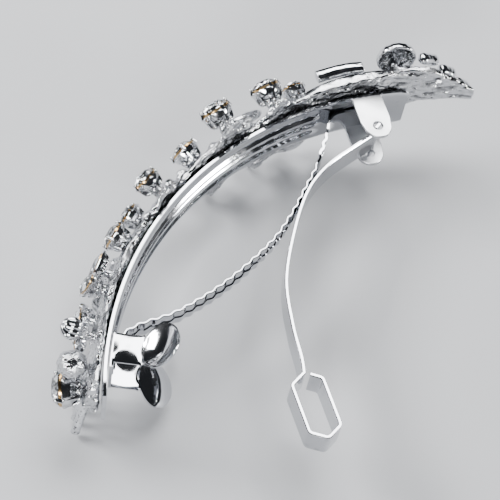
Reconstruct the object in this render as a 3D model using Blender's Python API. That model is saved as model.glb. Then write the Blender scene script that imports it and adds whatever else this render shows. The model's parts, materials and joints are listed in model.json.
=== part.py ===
"""A hair clip of the French barrette type with a spray of clear stones, lying on its side and open.

X runs along the clip from the catch to the hinge, Y points out of its convex, stone-set side, and Z runs
across its width, up from the surface it lies on. The origin is at the middle of the footprint.
"""

import math

import bmesh
import bpy
from mathutils import Matrix, Vector

for old in list(bpy.data.objects):
    bpy.data.objects.remove(old, do_unlink=True)

MM = 0.001

# Place of the arch's own frame in the clip's frame
ARC_CENTRE = (-4.897 * MM, -40.595 * MM)
MID_Z = 11.268 * MM

# Base plate
ARC_RADIUS = 60.4 * MM
CATCH_END_X = -39.2 * MM
HINGE_END_X = 42.5 * MM
PLATE_WIDTH = 8.8 * MM
PLATE_THICKNESS = 0.7 * MM
EAR_X = 36.5 * MM
EAR_WIDTH = 5.4 * MM
EAR_DROP = 7.0 * MM
EAR_LOBE_RADIUS = 2.4 * MM
PIVOT_HOLE_RADIUS = 0.95 * MM

# Lever
LEVER_WIDTH = 5.0 * MM
LEVER_THICKNESS = 0.6 * MM
TRUNNION_RADIUS = 0.65 * MM
EYE_LENGTH = 11.8 * MM
EYE_WIDTH = 5.2 * MM
EYE_APEX = 1.6 * MM

# Tension bar
BAR_WIDTH = 3.8 * MM
BAR_THICKNESS = 0.4 * MM
CATCH_TAB_BACK = 1.2 * MM
CATCH_TAB_FRONT = 5.2 * MM
HINGE_TAB_X = 30.6 * MM
HINGE_TAB_LENGTH = 4.8 * MM
# The bar's bow on the catch side: X and the drop below the plate's convex face, in mm
BOW_FROM_PLATE = ((-24.8, 4.67), (-18.5, 10.4), (-9.0, 15.23))
# The bar's bow on the hinge side: its places from the pivot, just clear of the lever, in mm
BOW_FROM_PIVOT = ((-30.27, 0.85), (-23.27, 1.55), (-18.27, 2.65), (-12.27, 4.05), (-6.27, 6.25))

# Catch
CATCH_X = -32.2 * MM
ARM_LENGTH = 5.2 * MM
ARM_DROP = 4.6 * MM
ARM_THICKNESS = 0.5 * MM
ARM_HALF_SPACING = 4.1 * MM
WEB_THICKNESS = 0.5 * MM
PAD_RADIUS = 3.9 * MM
PAD_THICKNESS = 0.5 * MM
PAD_FLARE = math.radians(42)
LIP_REACH = 2.0 * MM
LIP_DEPTH = 0.5 * MM
LIP_CLEARANCE = 0.3 * MM

# Ornament
GAP = 0.3 * MM
CASTING_THICKNESS = 1.2 * MM
CASTING_RISE = 1.5 * MM
CASTING_BULGE = 1.2 * MM
BULGE_HALF_WIDTH = 5.0 * MM
CASTING_EDGE = 0.7 * MM
POST_DEPTH = 0.5 * MM
CUP_WALL = 0.45 * MM
STONE_GAP = 0.12 * MM
CUP_DEPTH = 0.98

SILVER = (0.80, 0.81, 0.83)
CAST = (0.62, 0.63, 0.65)
CRYSTAL = (0.86, 0.90, 0.93)


# ---------------------------------------------------------------- places on the arch


def arch(x, height=0.0, z=0.0):
    """The point of the arch at this X, this far outside the convex face and this far off mid width."""
    radius = ARC_RADIUS + height
    lean = math.asin(x / radius)
    return Vector((
        ARC_CENTRE[0] + radius * math.sin(lean),
        ARC_CENTRE[1] + radius * math.cos(lean),
        MID_Z + z,
    ))


def outward(x, height=0.0):
    """The direction away from the arch's centre at this X."""
    lean = math.asin(x / (ARC_RADIUS + height))
    return Vector((math.sin(lean), math.cos(lean), 0))


def along(x, height=0.0):
    """The direction along the arch at this X, towards the hinge."""
    out = outward(x, height)
    return Vector((out.y, -out.x, 0))


def frame_at(point, along_axis, out_axis):
    """A placement with its X along along_axis and its Z along out_axis."""
    z_axis = out_axis.normalized()
    x_axis = (along_axis - z_axis * along_axis.dot(z_axis)).normalized()
    y_axis = z_axis.cross(x_axis)
    turn = Matrix((x_axis, y_axis, z_axis)).transposed().to_4x4()
    return Matrix.Translation(point) @ turn


# ---------------------------------------------------------------- making objects


def material(name, colour, roughness, metallic):
    mat = bpy.data.materials.new(name)
    mat.use_nodes = True
    shader = mat.node_tree.nodes["Principled BSDF"]
    shader.inputs["Base Color"].default_value = (*colour, 1)
    shader.inputs["Roughness"].default_value = roughness
    shader.inputs["Metallic"].default_value = metallic
    return mat


def plated(name):
    return material(name, SILVER, 0.12, 1.0)


def cast(name):
    return material(name, CAST, 0.35, 1.0)


def crystal(name):
    return material(name, CRYSTAL, 0.05, 0.0)


def add_object(name, bm, mat, origin=None):
    """An object from a bmesh in the clip's frame, with its own origin at the given point."""
    bmesh.ops.remove_doubles(bm, verts=bm.verts, dist=1e-7)
    bmesh.ops.recalc_face_normals(bm, faces=bm.faces)
    if origin is not None:
        bmesh.ops.translate(bm, verts=bm.verts, vec=-Vector(origin))
    mesh = bpy.data.meshes.new(name)
    bm.to_mesh(mesh)
    bm.free()
    mesh.materials.append(mat)
    mesh.shade_smooth()
    mesh.set_sharp_from_angle(angle=math.radians(30))
    obj = bpy.data.objects.new(name, mesh)
    if origin is not None:
        obj.location = origin
    bpy.context.scene.collection.objects.link(obj)
    return obj


def prism(outline, z_low, z_high, bm=None):
    """A closed solid from an outline in the XY plane, between two heights."""
    bm = bm or bmesh.new()
    low = [bm.verts.new((p[0], p[1], z_low)) for p in outline]
    high = [bm.verts.new((p[0], p[1], z_high)) for p in outline]
    bm.faces.new(low[::-1])
    bm.faces.new(high)
    for i in range(len(outline)):
        j = (i + 1) % len(outline)
        bm.faces.new((low[i], low[j], high[j], high[i]))
    return bm


def strip(line, thickness, width, bm=None):
    """Sheet metal bent along a line in the XY plane: a wall of quads, this thick and this wide."""
    bm = bm or bmesh.new()
    rings = []
    for i, p in enumerate(line):
        before = line[max(i - 1, 0)]
        after = line[min(i + 1, len(line) - 1)]
        first = (p - before).normalized() if i else (after - p).normalized()
        second = (after - p).normalized() if i < len(line) - 1 else first
        middle = (first + second).normalized()
        side = Vector((-middle.y, middle.x)) / max(middle.dot(first), 0.5)
        ring = []
        for offset, height in ((0.5, -0.5), (0.5, 0.5), (-0.5, 0.5), (-0.5, -0.5)):
            q = p + side * thickness * offset
            ring.append(bm.verts.new((q.x, q.y, MID_Z + height * width)))
        rings.append(ring)
    for a, b in zip(rings, rings[1:]):
        for k in range(4):
            m = (k + 1) % 4
            bm.faces.new((a[k], a[m], b[m], b[k]))
    bm.faces.new(rings[0][::-1])
    bm.faces.new(rings[-1])
    return bm


def smooth_line(knots, steps):
    """A smooth line in the XY plane through the knots."""
    points = []
    count = len(knots)
    for i in range(count - 1):
        p0 = knots[max(i - 1, 0)]
        p1 = knots[i]
        p2 = knots[i + 1]
        p3 = knots[min(i + 2, count - 1)]
        for k in range(steps):
            t = k / steps
            bend = 2 * p0 - 5 * p1 + 4 * p2 - p3
            twist = 3 * p1 - p0 - 3 * p2 + p3
            points.append(0.5 * (2 * p1 + (p2 - p0) * t + bend * t * t + twist * t * t * t))
    points.append(knots[-1].copy())
    return points


def arch_line(x_from, x_to, height, count):
    """Points along the arch, at a height from the convex face, in the XY plane."""
    lean_from = math.asin(x_from / ARC_RADIUS)
    lean_to = math.asin(x_to / ARC_RADIUS)
    radius = ARC_RADIUS + height
    points = []
    for i in range(count + 1):
        lean = lean_from + (lean_to - lean_from) * i / count
        points.append(Vector((
            ARC_CENTRE[0] + radius * math.sin(lean),
            ARC_CENTRE[1] + radius * math.cos(lean),
        )))
    return points


def turned(profile, segments, placement, bm=None):
    """A turned solid from (radius, height) pairs; the first and last radius are zero."""
    bm = bm or bmesh.new()
    rings = []
    for radius, height in profile:
        if radius == 0:
            rings.append([bm.verts.new(placement @ Vector((0, 0, height)))])
            continue
        ring = []
        for k in range(segments):
            angle = 2 * math.pi * k / segments
            ring.append(bm.verts.new(
                placement @ Vector((radius * math.cos(angle), radius * math.sin(angle), height))
            ))
        rings.append(ring)
    for a, b in zip(rings, rings[1:]):
        for k in range(segments):
            m = (k + 1) % segments
            corners = [a[k % len(a)], a[m % len(a)], b[m % len(b)], b[k % len(b)]]
            kept = [v for i, v in enumerate(corners) if v not in corners[:i]]
            bm.faces.new(kept)
    return bm


def rod(start, end, radius, segments=10, bm=None):
    """A round bar between two points."""
    axis = end - start
    side = Vector((0, 0, 1)) if abs(axis.normalized().z) < 0.9 else Vector((1, 0, 0))
    placement = frame_at(start, side, axis)
    profile = [(0, 0), (radius, 0), (radius, axis.length), (0, axis.length)]
    return turned(profile, segments, placement, bm)


def cutter(name, bm):
    obj = add_object(name, bm, CUTTER_MATERIAL)
    obj.display_type = "WIRE"
    obj.hide_render = True
    return obj


def boolean(obj, tool, operation):
    modifier = obj.modifiers.new(operation.lower(), "BOOLEAN")
    modifier.operation = operation
    modifier.solver = "EXACT"
    modifier.object = tool


CUTTER_MATERIAL = material("cutter", (1, 0, 0), 0.5, 0.0)

# ---------------------------------------------------------------- base plate with its two hinge ears

inner_face = -PLATE_THICKNESS
plate = strip(arch_line(CATCH_END_X, HINGE_END_X, inner_face / 2, 40), PLATE_THICKNESS, PLATE_WIDTH)
base_plate = add_object("base_plate", plate, plated("base_plate"))

ear_in = -outward(EAR_X)
ear_along = along(EAR_X)
ear_top = arch(EAR_X)
PIVOT = ear_top + ear_in * EAR_DROP
PIVOT.z = MID_Z


def ear_outline():
    """Square at the plate, narrowing to a round lobe about the pivot."""
    half = EAR_WIDTH / 2
    top = ear_top + ear_in * PLATE_THICKNESS / 2
    shoulder = ear_top + ear_in * (EAR_DROP - 1.2 * MM)
    points = [top - ear_along * half, top + ear_along * half, shoulder + ear_along * half]
    for k in range(13):
        angle = math.pi * k / 12
        points.append(
            PIVOT + (ear_along * math.cos(angle) + ear_in * math.sin(angle)) * EAR_LOBE_RADIUS
        )
    points.append(shoulder - ear_along * half)
    return points


for number, side in enumerate((-1, 1)):
    outer = MID_Z + side * PLATE_WIDTH / 2
    inner = outer - side * PLATE_THICKNESS
    ear = cutter(f"ear_form_{number}", prism(ear_outline(), min(outer, inner), max(outer, inner)))
    boolean(base_plate, ear, "UNION")
hole = rod(
    PIVOT - Vector((0, 0, PLATE_WIDTH)), PIVOT + Vector((0, 0, PLATE_WIDTH)), PIVOT_HOLE_RADIUS, 24
)
boolean(base_plate, cutter("pivot_hole", hole), "DIFFERENCE")

# ---------------------------------------------------------------- lever with its six-sided eye

lever_frame = [PIVOT.xy + Vector(offset) * MM for offset in (
    (0.0, 0.0), (-4.9, 1.2), (-11.4, 2.4), (-18.2, 1.9), (-26.3, -1.1),
    (-34.8, -5.6), (-41.0, -11.3), (-45.0, -15.9), (-47.1, -17.9),
)]
eye_start = lever_frame[-1]
eye_axis = Vector((-0.58, -0.815)).normalized()
eye_side = Vector((-eye_axis.y, eye_axis.x))
half_eye = EYE_WIDTH / 2
eye_corners = [
    eye_start + eye_axis * EYE_APEX - eye_side * half_eye,
    eye_start + eye_axis * (EYE_LENGTH - EYE_APEX) - eye_side * half_eye,
    eye_start + eye_axis * EYE_LENGTH,
    eye_start + eye_axis * (EYE_LENGTH - EYE_APEX) + eye_side * half_eye,
    eye_start + eye_axis * EYE_APEX + eye_side * half_eye,
    eye_start + eye_axis * 0.5 * MM + eye_side * (LEVER_THICKNESS + GAP),
]
lever_line = smooth_line(lever_frame, 6) + eye_corners
lever = add_object(
    "lever", strip(lever_line, LEVER_THICKNESS, LEVER_WIDTH), plated("lever"), PIVOT
)
trunnion = rod(
    PIVOT - Vector((0, 0, PLATE_WIDTH / 2)), PIVOT + Vector((0, 0, PLATE_WIDTH / 2)),
    TRUNNION_RADIUS, 16,
)
trunnion_form = cutter("trunnion_form", trunnion)
boolean(lever, trunnion_form, "UNION")

# ---------------------------------------------------------------- tension bar

under_plate = -(PLATE_THICKNESS + GAP + BAR_THICKNESS / 2)
catch_tab_height = under_plate - WEB_THICKNESS - GAP
catch_tab = arch_line(CATCH_X - CATCH_TAB_BACK, CATCH_X + CATCH_TAB_FRONT, catch_tab_height, 4)
hinge_tab = arch_line(HINGE_TAB_X, HINGE_TAB_X + HINGE_TAB_LENGTH, under_plate - GAP / 2, 3)
bow = [arch(x * MM).xy - Vector((0, drop * MM)) for x, drop in BOW_FROM_PLATE]
bow += [PIVOT.xy + Vector(offset) * MM for offset in BOW_FROM_PIVOT]
bar_line = smooth_line(catch_tab + bow + hinge_tab, 3)
tension_bar = add_object(
    "tension_bar", strip(bar_line, BAR_THICKNESS, BAR_WIDTH), plated("tension_bar")
)

# ---------------------------------------------------------------- catch: web and two sprung wings

catch_in = -outward(CATCH_X)
catch_along = along(CATCH_X)
web_top = -(PLATE_THICKNESS + GAP)
web_line = arch_line(
    CATCH_X - ARM_LENGTH / 2, CATCH_X + ARM_LENGTH / 2, web_top - WEB_THICKNESS / 2, 4
)
web_width = 2 * (ARM_HALF_SPACING - ARM_THICKNESS / 2 - GAP)
catch_web = add_object("catch_web", strip(web_line, WEB_THICKNESS, web_width), plated("catch_web"))

WING_ROOT = arch(CATCH_X, web_top - WEB_THICKNESS / 2)


def wing(side):
    """One arm of the catch, straight down from its bend, ending in a dished round thumb pad."""
    bm = bmesh.new()
    root = WING_ROOT + Vector((0, 0, side * ARM_HALF_SPACING))
    out = Vector((0, 0, side))
    half = ARM_LENGTH / 2
    section = []
    pad_way = catch_in * math.cos(PAD_FLARE) + out * math.sin(PAD_FLARE)
    pad_face = out * math.cos(PAD_FLARE) - catch_in * math.sin(PAD_FLARE)
    bend = root + catch_in * ARM_DROP
    rows = 14
    for i in range(rows + 1):
        t = i / rows
        if t < 0.4:
            point = root + catch_in * ARM_DROP * t / 0.4
            face, reach, dish = out, half, 0.0
        else:
            u = (t - 0.4) / 0.6
            point = bend + pad_way * 1.9 * PAD_RADIUS * u
            across = 2 * u - 0.95
            reach = PAD_RADIUS * math.sqrt(max(1 - across * across, 0.04))
            face, dish = pad_face, 0.7 * MM * (1 - across * across)
            reach = max(reach, 0.55 * half) if u < 0.3 else reach
        row = []
        for k in range(7):
            v = -1 + k / 3
            sink = dish * (1 - v * v)
            row.append(point + catch_along * reach * v - face * sink)
        section.append((row, face))
    low = [[bm.verts.new(p - f * ARM_THICKNESS / 2) for p in row] for row, f in section]
    high = [[bm.verts.new(p + f * ARM_THICKNESS / 2) for p in row] for row, f in section]
    last = len(low) - 1
    for i in range(last):
        for k in range(6):
            bm.faces.new((low[i][k], low[i + 1][k], low[i + 1][k + 1], low[i][k + 1]))
            bm.faces.new((high[i][k], high[i][k + 1], high[i + 1][k + 1], high[i + 1][k]))
        bm.faces.new((low[i][0], high[i][0], high[i + 1][0], low[i + 1][0]))
        bm.faces.new((low[i][6], low[i + 1][6], high[i + 1][6], high[i][6]))
    for k in range(6):
        bm.faces.new((low[0][k], low[0][k + 1], high[0][k + 1], high[0][k]))
        bm.faces.new((low[last][k], high[last][k], high[last][k + 1], low[last][k + 1]))
    return bm, root


def lip_outline():
    """A narrow tongue along the arm's lower edge, reaching past it towards the hinge."""
    start = WING_ROOT + catch_in * (ARM_DROP - 2 * LIP_DEPTH)
    end = ARM_LENGTH / 2 + LIP_REACH
    return [
        start,
        start + catch_along * end,
        start + catch_along * end + catch_in * LIP_DEPTH,
        start + catch_in * LIP_DEPTH,
    ]


LIP_EDGE = LEVER_WIDTH / 2 + LIP_CLEARANCE
for name, side in (("catch_wing_upper", 1), ("catch_wing_lower", -1)):
    form, root = wing(side)
    wing_object = add_object(name, form, plated(name), root)
    lip_span = sorted((MID_Z + side * LIP_EDGE, MID_Z + side * (ARM_HALF_SPACING + ARM_THICKNESS / 4)))
    boolean(wing_object, cutter(f"{name}_lip", prism(lip_outline(), *lip_span)), "UNION")

# ---------------------------------------------------------------- spray casting that carries the stones

# Lobed outline of the casting: X and the offset across, upper edge and lower edge, in mm
UPPER_EDGE = (
    (-38.5, 1.0), (-37.5, 4.5), (-35.7, 6.6), (-32.6, 9.6), (-30.0, 7.6), (-27.0, 5.6), (-24.3, 7.0),
    (-20.5, 5.0), (-17.0, 3.8), (-14.0, 5.4), (-9.0, 4.2), (-7.0, 5.6), (-4.7, 8.8), (-2.0, 5.6),
    (2.0, 4.4), (5.8, 6.0), (9.0, 6.2), (12.2, 10.6), (15.0, 7.0), (18.0, 5.0), (22.1, 9.2),
    (25.0, 6.6), (27.0, 6.8), (30.0, 7.0), (34.0, 7.4), (38.0, 7.8), (41.5, 8.8),
    (44.5, 8.8), (48.0, 6.4), (50.5, 3.6),
)
LOWER_EDGE = (
    (-38.5, -3.5), (-36.0, -6.2), (-32.0, -6.6), (-28.0, -5.0), (-24.3, -6.8), (-20.0, -5.0), (-12.0, -4.6),
    (-4.0, -5.4), (4.0, -5.0), (7.0, -6.6), (9.9, -9.6), (13.0, -7.0), (16.0, -6.8), (19.5, -9.4),
    (22.5, -7.2), (26.5, -8.6), (29.5, -6.0), (34.0, -4.6), (38.0, -4.2), (41.5, -1.8), (44.5, 0.2),
    (50.5, 1.2),
)
CASTING_STEP = 1.2 * MM


def eased(knots, x):
    """The value at X of a line that eases from knot to knot."""
    for (x0, v0), (x1, v1) in zip(knots, knots[1:]):
        if x <= x1:
            t = max((x - x0) / (x1 - x0), 0.0)
            return v0 + (v1 - v0) * t * t * (3 - 2 * t)
    return knots[-1][1]


def casting_top(x, across):
    """The casting is crowned along its middle, and thickens under the stems, most at its upper edge."""
    rise = eased(((26.0, 0.0), (31.0, 0.9), (43.0, 0.4), (50.5, 0.0)), x / MM)
    lift = min(max((across / MM + 2.0) / 9.0, 0.0), 1.0)
    bulge = eased(((26.0, 1.0), (30.0, 0.0)), x / MM) * max(1 - (across / BULGE_HALF_WIDTH) ** 2, 0.0)
    return GAP + CASTING_THICKNESS + CASTING_RISE * rise * lift + CASTING_BULGE * bulge


def casting_ring(x):
    """One section across the casting, thinner at both edges."""
    low = eased(LOWER_EDGE, x / MM) * MM
    high = eased(UPPER_EDGE, x / MM) * MM
    edge = CASTING_THICKNESS / 4
    points = [(GAP + edge, low), (GAP, low + CASTING_EDGE), (GAP, high - CASTING_EDGE), (GAP + edge, high)]
    for share in (1.0, 0.8, 0.6, 0.4, 0.2, 0.0):
        across = low + (high - low) * share
        top = casting_top(x, across)
        if share in (0.0, 1.0):
            top -= edge
        points.append((top, across))
    return [arch(x * (ARC_RADIUS + height) / ARC_RADIUS, height, across) for height, across in points]


casting_form = bmesh.new()
start_x = UPPER_EDGE[0][0] * MM
steps = round((UPPER_EDGE[-1][0] * MM - start_x) / CASTING_STEP)
rings = []
for i in range(steps + 1):
    ring = casting_ring(start_x + CASTING_STEP * i)
    rings.append([casting_form.verts.new(p) for p in ring])
for a, b in zip(rings, rings[1:]):
    for k in range(len(a)):
        m = (k + 1) % len(a)
        casting_form.faces.new((a[k], a[m], b[m], b[k]))
casting_form.faces.new(rings[0][::-1])
casting_form.faces.new(rings[-1])
casting = add_object("spray_casting", casting_form, cast("spray_casting"))

# Round stones: X, height of the girdle over the plate, offset across, girdle radius
ROUND_STONES = (
    ("end", -40.0, 6.6, -1.6, 2.9),
    ("row_1", -14.9, 5.0, 3.2, 2.1),
    ("row_2", -9.4, 5.0, 2.2, 1.9),
    ("row_3", -5.0, 5.0, 7.4, 2.1),
    ("row_4", 6.2, 5.2, 3.6, 2.2),
    ("row_5", 13.0, 5.4, 9.2, 2.5),
    ("row_6", 23.6, 5.4, 7.6, 2.4),
    ("row_7", 28.8, 5.0, 4.6, 1.9),
    ("low_1", 10.6, 4.6, -8.6, 2.3),
    ("low_2", 20.8, 4.6, -8.2, 2.3),
    ("low_3", 28.2, 4.4, -7.4, 1.9),
)

# Flower of marquise stones, round a domed knuckle of the casting
FLOWER_X = -25.9 * MM
FLOWER_HEIGHT = 5.2 * MM
FLOWER_RADIUS = 5.2 * MM
PETAL_COUNT = 6
MARQUISE_LENGTH = 5.2 * MM
MARQUISE_WIDTH = 2.6 * MM


def facing(x, height, across):
    """Stones lean outwards the further they sit from mid width."""
    tilt = math.radians(3.5) * across / MM
    out = outward(x, height)
    return out * math.cos(tilt) + Vector((0, 0, math.sin(tilt)))


def place(x, height, across, turn=0.0):
    placement = frame_at(arch(x, height, across), along(x, height), facing(x, height, across))
    return placement @ Matrix.Rotation(math.radians(turn), 4, "Z")


def round_stone(radius):
    """Crown with a flat table above the girdle, cone below it."""
    return [(0, -0.62 * radius), (radius * 0.5, -0.42 * radius), (radius, -0.04 * radius),
            (radius, 0.04 * radius), (radius * 0.62, 0.42 * radius), (0, 0.42 * radius)]


def round_cup(radius):
    """A bowl under the stone, open at the top, with a stud below."""
    inner = radius + STONE_GAP
    outer = inner + CUP_WALL
    return [(0, -CUP_DEPTH * radius), (0.62 * outer, -CUP_DEPTH * radius), (0.9 * outer, -0.6 * radius),
            (outer, -0.2 * radius), (outer, 0.16 * radius), (inner, 0.16 * radius),
            (inner, -0.14 * radius), (0.5 * inner, -0.62 * radius), (0, -0.72 * radius)]


def scaled_turned(profile, segments, placement, stretch):
    """A turned form drawn out along its own X."""
    return turned(profile, segments, placement @ Matrix.Diagonal((stretch, 1, 1, 1)))


posts = []


def post(spot, depth, radius):
    """A boss that rises from the casting to just under a piece this deep below its place."""
    end = spot @ Vector((0, 0, -depth - GAP))
    axis = (spot.to_3x3() @ Vector((0, 0, 1))).normalized()
    centre = Vector((*ARC_CENTRE, 0))
    height = (end - centre).xy.length - ARC_RADIUS
    out = (end - centre).xy.normalized()
    length = (height - GAP - POST_DEPTH) / axis.xy.dot(out)
    posts.append(rod(end - axis * length, end, radius))


for name, x, height, across, radius in ROUND_STONES:
    radius = radius * MM
    spot = place(x * MM, height * MM, across * MM)
    add_object(f"stone_{name}", turned(round_stone(radius), 16, spot), crystal(f"stone_{name}"))
    add_object(f"cup_{name}", turned(round_cup(radius), 16, spot), cast(f"cup_{name}"))
    post(spot, CUP_DEPTH * radius, 0.5 * radius)

for number in range(PETAL_COUNT):
    angle = math.radians(30 + 360 * number / PETAL_COUNT)
    x = FLOWER_X + FLOWER_RADIUS * math.cos(angle)
    spot = place(x, FLOWER_HEIGHT, FLOWER_RADIUS * math.sin(angle), -math.degrees(angle))
    radius = MARQUISE_WIDTH / 2
    stretch = MARQUISE_LENGTH / MARQUISE_WIDTH
    name = f"petal_{number + 1}"
    stone_form = scaled_turned(round_stone(radius), 12, spot, stretch)
    add_object(f"stone_{name}", stone_form, crystal(f"stone_{name}"))
    cup_form = scaled_turned(round_cup(radius), 12, spot, stretch)
    add_object(f"setting_{name}", cup_form, cast(f"setting_{name}"))
    post(spot, CUP_DEPTH * radius, 0.6 * radius)

# ---------------------------------------------------------------- catch end: cluster, ball and fringe

def round_bead(radius, placement):
    return turned([(0, -radius), (0.7 * radius, -0.7 * radius), (radius, 0), (0.7 * radius, 0.7 * radius),
                   (0, radius)], 12, placement)


CLUSTER_RADIUS = 2.4 * MM
BALL_RADIUS = 1.9 * MM
FRINGE_RADIUS = 0.6 * MM
FRINGE_COUNT = 4
cluster_spot = place(-38.2 * MM, 5.0 * MM, 4.4 * MM)
add_object("end_cluster", round_bead(CLUSTER_RADIUS, cluster_spot), cast("end_cluster"))
post(cluster_spot, CLUSTER_RADIUS, 1.0 * MM)
ball_spot = place(-35.0 * MM, 5.4 * MM, 8.2 * MM)
add_object("grooved_ball", round_bead(BALL_RADIUS, ball_spot), cast("grooved_ball"))
post(ball_spot, BALL_RADIUS, 0.8 * MM)
for number in range(FRINGE_COUNT):
    start = arch((-38.0 + 1.6 * number) * MM, 2.5 * MM, -5.0 * MM)
    end = arch((-41.0 + 1.9 * number) * MM, 4.0 * MM, -10.6 * MM)
    name = f"fringe_rod_{number + 1}"
    add_object(name, rod(start, end, FRINGE_RADIUS), cast(name))

# ------------------------------------------------------------- hinge end: stems, petal, bars, leaf


def arched_rod(name, places, radius):
    """A smooth round stem through places given as X, height and offset across."""
    curve = bpy.data.curves.new(name, "CURVE")
    curve.dimensions = "3D"
    curve.bevel_depth = radius
    curve.bevel_resolution = 2
    curve.use_fill_caps = True
    spline = curve.splines.new("POLY")
    knots = [arch(x * MM, h * MM, z * MM) for x, h, z in places]
    points = []
    for i in range(len(knots) - 1):
        p0, p1 = knots[max(i - 1, 0)], knots[i]
        p2, p3 = knots[i + 1], knots[min(i + 2, len(knots) - 1)]
        for k in range(6):
            t = k / 6
            points.append(0.5 * (
                2 * p1 + (p2 - p0) * t + (2 * p0 - 5 * p1 + 4 * p2 - p3) * t * t
                + (3 * p1 - p0 - 3 * p2 + p3) * t ** 3
            ))
    points.append(knots[-1])
    spline.points.add(len(points) - 1)
    for spot, p in zip(spline.points, points):
        spot.co = (*p, 1)
    curve.materials.append(plated(name))
    obj = bpy.data.objects.new(name, curve)
    bpy.context.scene.collection.objects.link(obj)
    return obj


STEM_RADIUS = 1.0 * MM
# Each stem's path: X, height over the arch and offset across, in mm
STEM_PATHS = (
    ((32.2, 4.4, 6.6), (35.4, 4.3, 7.0), (37.4, 4.1, 7.2), (39.0, 4.0, 7.1)),
    ((29.8, 3.8, 1.6), (34.4, 3.8, 3.4), (39.2, 3.6, 4.4), (44.0, 3.2, 4.8)),
    ((34.6, 3.2, -1.6), (38.4, 3.2, 0.2), (42.0, 3.0, 1.2), (45.4, 2.8, 1.8)),
)
for number, path in enumerate(STEM_PATHS):
    arched_rod(f"stem_{number + 1}", path, STEM_RADIUS)

FINGER_TURN = 38.0
FINGER_RADIUS = 0.95 * MM


def finger(name, x, height, across, length):
    """A short cast bar with rounded ends, lying across the end of the spray."""
    spot = place(x * MM, height * MM, across * MM, FINGER_TURN).to_3x3()
    middle = arch(x * MM, height * MM, across * MM)
    placement = frame_at(middle, spot @ Vector((0, 0, 1)), spot @ Vector((1, 0, 0)))
    half = length * MM / 2
    r = FINGER_RADIUS
    form = turned([(0, -half), (0.7 * r, 0.25 * r - half), (r, r - half), (r, half - r),
                   (0.7 * r, half - 0.25 * r), (0, half)], 12, placement)
    add_object(name, form, cast(name))


finger("finger_bar_1", 47.5, 3.6, 8.4, 5.0)
finger("finger_bar_2", 49.7, 3.2, 5.6, 4.4)
finger("finger_bar_3", 51.34, 2.8, 2.7, 4.0)

PETAL_RADIUS = 3.6 * MM
PETAL_DEPTH = 1.7 * MM
PETAL_WALL = 0.6 * MM
PETAL_X = 42.9 * MM
PETAL_HEIGHT = 3.3 * MM
PETAL_ACROSS = 9.6 * MM
petal_spot = frame_at(arch(PETAL_X, PETAL_HEIGHT, PETAL_ACROSS), along(PETAL_X), outward(PETAL_X))
petal = turned(
    [(0, PETAL_DEPTH - PETAL_WALL), (0.34 * PETAL_RADIUS, 0.56 * PETAL_DEPTH),
     (0.62 * PETAL_RADIUS, 0.32 * PETAL_DEPTH), (PETAL_RADIUS - PETAL_WALL, -0.18 * PETAL_DEPTH),
     (PETAL_RADIUS, -0.2 * PETAL_DEPTH), (0.95 * PETAL_RADIUS, 0.25 * PETAL_DEPTH),
     (0.76 * PETAL_RADIUS, 0.66 * PETAL_DEPTH), (0.42 * PETAL_RADIUS, 0.93 * PETAL_DEPTH),
     (0, PETAL_DEPTH)],
    16, petal_spot,
)
add_object("cupped_petal", petal, cast("cupped_petal"))
post(petal_spot @ Matrix.Translation((0, PETAL_RADIUS / 2, 0)), -0.1 * PETAL_DEPTH, 0.8 * MM)

LEAF_HALF_WIDTH = 1.9 * MM
LEAF_HALF_THICKNESS = 0.7 * MM
LEAF_STRETCH = 2.4
leaf_spot = place(18.8 * MM, 4.2 * MM, 2.6 * MM, 12)
leaf = turned(
    [(0, -LEAF_HALF_THICKNESS), (0.74 * LEAF_HALF_WIDTH, -0.71 * LEAF_HALF_THICKNESS), (LEAF_HALF_WIDTH, 0),
     (0.74 * LEAF_HALF_WIDTH, 0.71 * LEAF_HALF_THICKNESS), (0, LEAF_HALF_THICKNESS)],
    14, leaf_spot @ Matrix.Diagonal((LEAF_STRETCH, 1, 1, 1)),
)
add_object("leaf", leaf, cast("leaf"))
post(leaf_spot, LEAF_HALF_THICKNESS, 1.0 * MM)

# Rounded knuckles of the casting between the cups: X, offset across and radius, in mm
KNUCKLES = (
    (-24.3, 0.0, 1.9), (-17.6, 0.4, 1.6), (-17.4, -3.2, 1.5), (-11.8, -2.6, 1.5), (-9.4, 5.0, 1.1),
    (-6.4, -2.4, 1.7), (-1.4, 3.6, 1.6), (-0.4, -1.6, 1.7), (2.6, 2.4, 1.3), (5.4, -2.6, 1.7),
    (9.4, 4.6, 1.3), (10.6, 0.6, 1.6), (15.2, -2.6, 1.7), (16.2, 6.2, 1.3), (22.4, 3.4, 1.4),
    (22.6, -2.8, 1.6), (28.6, -2.6, 1.6), (34.0, -3.4, 1.2),
)
KNUCKLE_SINK = 0.4 * MM
for x, across, radius in KNUCKLES:
    r = radius * MM
    dome = [(0, -0.1 * r), (r, -0.1 * r), (0.96 * r, 0.3 * r), (0.7 * r, 0.72 * r), (0.35 * r, 0.93 * r),
            (0, r)]
    height = casting_top(x * MM, across * MM) - KNUCKLE_SINK
    posts.append(turned(dome, 12, place(x * MM, height, across * MM)))

for number, form in enumerate(posts):
    boolean(casting, cutter(f"boss_{number}", form), "UNION")
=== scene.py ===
import json
import math

import bmesh
import bpy
from mathutils import Matrix, Vector, noise


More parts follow.
